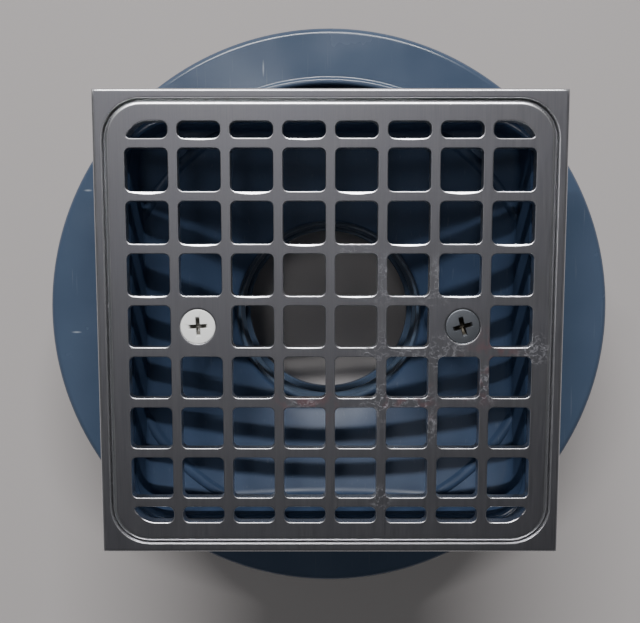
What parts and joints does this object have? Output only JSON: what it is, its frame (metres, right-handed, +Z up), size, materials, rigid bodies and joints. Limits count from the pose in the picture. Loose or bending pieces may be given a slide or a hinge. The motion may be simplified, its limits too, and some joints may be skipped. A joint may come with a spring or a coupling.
{
  "type": "floor drain grate",
  "caption": "Square tile-in shower floor drain with a screw-down grid grate, height-adjusting tub, clamping ring and round flange.",
  "frame": {"origin": "on the drain's axis at the underside of the hub, where the pipe enters", "axes": "+Z up through the outlet to the grate; +X towards the right grate screw; +Y square to them"},
  "size_m": [0.162, 0.162, 0.07],
  "materials": {
    "grate_nickel": "satin brushed nickel plate",
    "frame_nickel": "satin brushed nickel plate",
    "tub_plastic": "moulded slate-blue plastic, semi-gloss",
    "base_plastic": "moulded slate-blue plastic, semi-gloss",
    "sleeve_plastic": "moulded slate-blue plastic, semi-gloss",
    "bright_zinc": "bright zinc plate",
    "dull_steel": "dull stainless steel",
    "bolt_steel": "stainless steel",
    "brass": "machined brass"
  },
  "bodies": {
    "base": {"drain_base": "base_plastic", "clamping_ring": "base_plastic", "clamp_bolt_1": "bolt_steel", "bolt_washer_1": "bolt_steel", "bolt_insert_1": "brass", "clamp_bolt_2": "bolt_steel", "bolt_washer_2": "bolt_steel", "bolt_insert_2": "brass", "clamp_bolt_3": "bolt_steel", "bolt_washer_3": "bolt_steel", "bolt_insert_3": "brass", "clamp_bolt_4": "bolt_steel", "bolt_washer_4": "bolt_steel", "bolt_insert_4": "brass"},
    "tub": {"strainer_tub": "tub_plastic", "tile_frame": "frame_nickel", "screw_insert_left": "brass", "screw_insert_right": "brass", "frame_screw_1": "dull_steel", "frame_screw_2": "dull_steel", "frame_screw_3": "dull_steel", "frame_screw_4": "dull_steel"},
    "sleeve": {"height_sleeve": "sleeve_plastic"},
    "grate": {"grate": "grate_nickel"},
    "left_screw": {"grate_screw_left": "bright_zinc"},
    "right_screw": {"grate_screw_right": "dull_steel"}
  },
  "joints": [
    {"name": "height_rise", "type": "slide", "parent": "base", "child": "tub", "axis": [0, 0, 1], "range_m": [0, 0.008]},
    {"name": "sleeve_turn", "type": "hinge", "parent": "tub", "child": "sleeve", "pos_m": [0, 0, 0.03], "axis": [0, 0, 1], "range_deg": [0, 720]},
    {"name": "grate_lift", "type": "slide", "parent": "tub", "child": "grate", "axis": [0, 0, 1], "range_m": [0, 0.04]},
    {"name": "left_screw_withdraw", "type": "slide", "parent": "grate", "child": "left_screw", "axis": [0, 0, 1], "range_m": [0, 0.014]},
    {"name": "right_screw_withdraw", "type": "slide", "parent": "grate", "child": "right_screw", "axis": [0, 0, 1], "range_m": [0, 0.014]}
  ],
  "couplings": [
    {"joint": "sleeve_turn", "follows": "height_rise", "rad_per_m": 1570.8}
  ]
}
